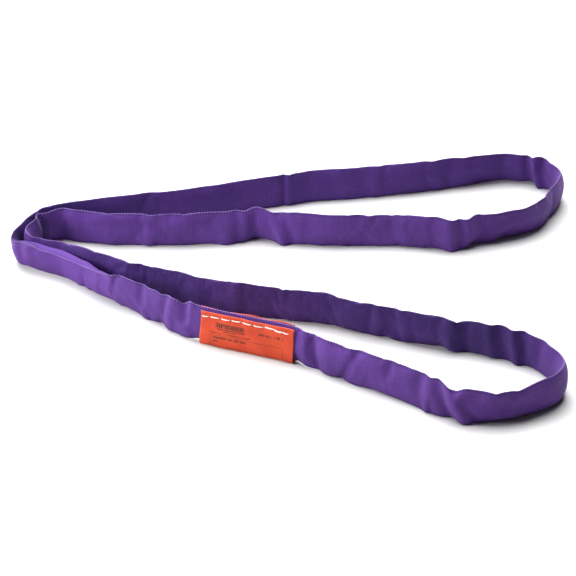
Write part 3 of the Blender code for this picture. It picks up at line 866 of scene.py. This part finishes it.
def folded_edges(n, colour, u, v, weave):
    """Pales the folded edges, partly wear where the threads rub and partly a painted highlight, and
    paints shade in notches where the ribs turn.
    """
    from_top = n.math("ABSOLUTE", n.math("SUBTRACT", v, EDGE_SPAN))
    edge = n.math("MINIMUM", from_top, n.math("SUBTRACT", EDGE_SPAN, from_top))
    # wear and painted highlight along both folded edges
    wear_and_highlight = n.math("MULTIPLY", n.ramp(edge, 0.0014, 0.0003), n.ramp(weave, 0.1, 0.6))
    colour = n.mix(n.math("MULTIPLY", wear_and_highlight, 0.65), colour, CLOTH_WEAR_AND_HIGHLIGHT)
    # painted shade in the notches between the rib turns
    turn = n.math("ABSOLUTE", n.math("SINE", n.math("MULTIPLY", u, math.pi / EDGE_PITCH)))
    notch_shade = n.math("MULTIPLY", n.ramp(turn, 0.85, 0.40), n.ramp(edge, 0.0040, 0.0022))
    return n.mix(n.math("MULTIPLY", notch_shade, 0.70), colour, CLOTH_NOTCH_SHADE)


def jacket_material():
    """Purple polyester in a fine plain weave, with shade painted on its inner face, in its folds and
    between its threads, and highlights painted on its folded edges.
    """
    n = Nodes("sling_jacket")
    u, v = n.split(n.add("ShaderNodeUVMap", uv_map="weave").outputs[0])
    place = n.add("ShaderNodeTexCoord").outputs["Object"]
    weave = weave_height(n, u, v, WEFT_PITCH, WARP_PITCH)
    patches = n.noise(place, 22.0, 3.0)
    fibres = n.noise(place, 900.0, 1.0)
    base = n.mix(n.ramp(patches, 0.36, 0.66), CLOTH_DEEP, CLOTH_PALE)
    inner = n.ramp(v, EDGE_SPAN - 0.004, EDGE_SPAN + 0.004)
    # painted shade: the inner face is mixed towards a darker purple
    base = n.mix(n.math("MULTIPLY", inner, 0.46), base, CLOTH_INNER_SHADE)
    # painted shade on the listed stretches of the loop
    base = paint_shade_runs(n, base, u, inner)
    # painted shade in the hollows of the weave, between the threads
    shaded = n.mix(0.42, base, CLOTH_SHADE_BETWEEN_THREADS)
    colour = n.mix(n.ramp(weave, 0.05, 0.6), shaded, base)
    colour = n.mix(n.math("MULTIPLY", n.ramp(fibres, 0.55, 0.8), 0.25), colour, CLOTH_FIBRE)
    colour = folded_edges(n, colour, u, v, weave)
    n.plug(colour, n.shader.inputs["Base Color"])
    n.shader.inputs["Roughness"].default_value = 0.72
    n.shader.inputs["Specular IOR Level"].default_value = 0.27
    n.shader.inputs["Sheen Weight"].default_value = 0.22
    n.shader.inputs["Sheen Roughness"].default_value = 0.4
    n.shader.inputs["Sheen Tint"].default_value = (*CLOTH_SHEEN, 1.0)
    n.bump(n.math("ADD", weave, n.math("MULTIPLY", fibres, 0.3)), 0.0002)
    return n.material


def box_mask(n, u, v, box):
    """1 inside a rectangle of the tag, given as left, right, top and bottom in mm."""
    left, right, top, bottom = (0.001 * edge for edge in box)
    inside = n.math("MULTIPLY", n.math("GREATER_THAN", u, left), n.math("LESS_THAN", u, right))
    height = n.math("MULTIPLY", n.math("GREATER_THAN", v, top), n.math("LESS_THAN", v, bottom))
    return n.math("MULTIPLY", inside, height)


def bars_mask(n, u, v, box, cell, filled, seed):
    """A row of small upright bars, some left out at random, in place of lettering."""
    inside = box_mask(n, u, v, box)
    cells = n.math("DIVIDE", u, cell / 1000)
    bar = n.math("LESS_THAN", n.math("FRACT", cells), 0.76)
    key = n.add("ShaderNodeCombineXYZ")
    n.plug(n.math("FLOOR", cells), key.inputs[0])
    key.inputs[1].default_value = seed
    random = n.add("ShaderNodeTexWhiteNoise", noise_dimensions="2D")
    n.plug(key.outputs[0], random.inputs["Vector"])
    printed = n.math("LESS_THAN", random.outputs["Value"], filled)
    return n.math("MULTIPLY", n.math("MULTIPLY", inside, bar), printed)


def tag_print(n, u, v, grain):
    """Mask of the print: rows of bars and a thin frame, a little broken up by the grain."""
    ink = None
    for box, cell, filled, seed in TAG_PRINT:
        part = bars_mask(n, u, v, box, cell, filled, seed)
        ink = part if ink is None else n.math("MAXIMUM", ink, part)
    for box in TAG_FRAME:
        ink = n.math("MAXIMUM", ink, box_mask(n, u, v, box))
    return n.math("MULTIPLY", ink, n.ramp(grain, 0.25, 0.45))


def tag_material(total):
    """Orange satin-faced label cloth, printed with a frame and rows of blank bars."""
    n = Nodes("sling_tag")
    u, v = n.split(n.add("ShaderNodeUVMap", uv_map="sheet").outputs[0])
    place = n.add("ShaderNodeTexCoord").outputs["Object"]
    weave = weave_height(n, u, v, TAG_PITCH, TAG_PITCH)
    soft = n.noise(place, 45.0, 3.0)
    grain = n.noise(place, 700.0, 2.0)
    base = n.mix(n.ramp(soft, 0.35, 0.68), TAG_DEEP, TAG_PALE)
    base = n.mix(n.math("MULTIPLY", n.ramp(grain, 0.5, 0.8), 0.22), base, TAG_FIBRE)
    colour = n.mix(n.math("MULTIPLY", tag_print(n, u, v, grain), 0.93), base, TAG_INK)
    cut = n.math("MINIMUM", u, n.math("SUBTRACT", TAG_LENGTH, u))
    cut = n.math("MINIMUM", cut, n.math("MINIMUM", v, n.math("SUBTRACT", total, v)))
    colour = n.mix(n.math("MULTIPLY", n.ramp(cut, 0.0009, 0.0002), 0.35), colour, TAG_CUT_EDGE)
    n.plug(colour, n.shader.inputs["Base Color"])
    n.shader.inputs["Roughness"].default_value = 0.62
    n.shader.inputs["Specular IOR Level"].default_value = 0.22
    n.shader.inputs["Sheen Weight"].default_value = 0.03
    n.bump(n.math("ADD", weave, n.math("MULTIPLY", grain, 0.6)), 0.00006)
    return n.material


def plain_cloth(name, colours, scale, roughness):
    """A simple fibrous material for threads and yarn, from a pale and a dark colour."""
    pale, dark = colours
    n = Nodes(name)
    place = n.add("ShaderNodeTexCoord").outputs["Object"]
    grain = n.noise(place, scale, 3.0)
    n.plug(n.mix(n.ramp(grain, 0.3, 0.7), dark, pale), n.shader.inputs["Base Color"])
    n.shader.inputs["Roughness"].default_value = roughness
    n.bump(grain, 0.0001, 0.6)
    return n.material


def floor_material():
    """Pale studio paper."""
    n = Nodes("floor_paper")
    place = n.add("ShaderNodeTexCoord").outputs["Object"]
    grain = n.noise(place, 60.0, 2.0)
    n.plug(n.mix(grain, (0.56, 0.56, 0.56), (0.59, 0.59, 0.59)), n.shader.inputs["Base Color"])
    n.shader.inputs["Roughness"].default_value = 0.9
    n.shader.inputs["Specular IOR Level"].default_value = 0.1
    return n.material


# ---- studio ----
VIEW_AZIMUTH = 7.0
VIEW_ELEVATION = 33.0
VIEW_DISTANCE = 2.5
LENS_MM = 157.8
SENSOR_MM = 36.0

FLOOR_REACH = 30.0
FLOOR_LEVEL = -0.00005         # just below the pieces that stand on it
SKY_STRENGTH = 0.06
# Round area lights aimed at the sling: name, place, size, watts and colour.
LIGHTS = [
    ("overhead", (-0.4, 0.85, 2.5), 3.0, 277.0, (1.0, 1.0, 1.0)),
    ("left", (-0.88, -0.42, 0.42), 0.4, 11.5, (1.0, 0.99, 0.98)),
]


def aim(thing, target):
    """Turns a camera or light to face a point."""
    thing.rotation_euler = (Vector(target) - thing.location).to_track_quat("-Z", "Y").to_euler()


def build_camera():
    """The camera, VIEW_DISTANCE from the sling's anchor."""
    azimuth, elevation = math.radians(VIEW_AZIMUTH), math.radians(VIEW_ELEVATION)
    camera = add_object("camera", bpy.data.cameras.new("camera"))
    camera.data.lens = LENS_MM
    camera.data.sensor_width = SENSOR_MM
    camera.data.clip_end = 50.0
    flat = VIEW_DISTANCE * math.cos(elevation)
    target = Vector((ANCHOR[0], ANCHOR[1], 0.0))
    rise = VIEW_DISTANCE * math.sin(elevation)
    camera.location = target + Vector((flat * math.sin(azimuth), -flat * math.cos(azimuth), rise))
    aim(camera, target)
    bpy.context.scene.camera = camera


def add_area_light(name, place, size, power, colour):
    """A round area light aimed at the middle of the sling."""
    data = bpy.data.lights.new(name, "AREA")
    data.shape = "DISK"
    data.size = size
    data.energy = power
    data.color = colour
    light = add_object(name, data)
    light.location = place
    aim(light, (0.0, 0.0, 0.0))


def build_studio():
    """A pale floor, a faint even sky and the lights."""
    mesh = bpy.data.meshes.new("floor")
    corners = [(-1, -1), (1, -1), (1, 1), (-1, 1)]
    verts = [(x * FLOOR_REACH, y * FLOOR_REACH, FLOOR_LEVEL) for x, y in corners]
    mesh.from_pydata(verts, [], [(0, 1, 2, 3)])
    mesh.materials.append(floor_material())
    add_object("floor", mesh)
    world = bpy.data.worlds.new("studio")
    world.use_nodes = True
    background = world.node_tree.nodes["Background"]
    background.inputs[0].default_value = (1.0, 1.0, 1.0, 1.0)
    background.inputs[1].default_value = SKY_STRENGTH
    bpy.context.scene.world = world
    for light in LIGHTS:
        add_area_light(*light)
    bpy.context.scene.view_settings.view_transform = "Standard"


def dress_cad_nodes():
    """Purple thread on the hidden closing seam, whose CAD pieces stay as they are."""
    thread = plain_cloth("closing_thread", CLOSING_PURPLE, 2500.0, 0.6)
    for node in ("closing_needle_thread", "closing_bobbin_thread"):
        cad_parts[node].material_slots[0].material = thread


def join_frame(piece, node):
    """Makes a piece stand for a CAD node."""
    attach(piece, "root")
    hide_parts(node)


def main():
    """Builds the sling and its studio."""
    build_camera()
    build_studio()
    jacket, core = build_jacket()
    yarn = plain_cloth("core_yarn_fibre", YARN_WHITE, 900.0, 0.8)
    core.data.materials.append(yarn)
    join_frame(jacket, "jacket")
    join_frame(core, "core_yarn")
    plain_cloth("tag_thread", STITCH_WHITE, 2500.0, 0.55)
    tag, girth = build_tag()
    join_frame(tag, "tag")
    needle = build_stitches("tag_needle_stitches", front=True)
    bobbin = build_stitches("tag_bobbin_stitches", front=False)
    join_frame(needle, "tag_needle_thread")
    join_frame(bobbin, "tag_bobbin_thread")
    dress_cad_nodes()


main()
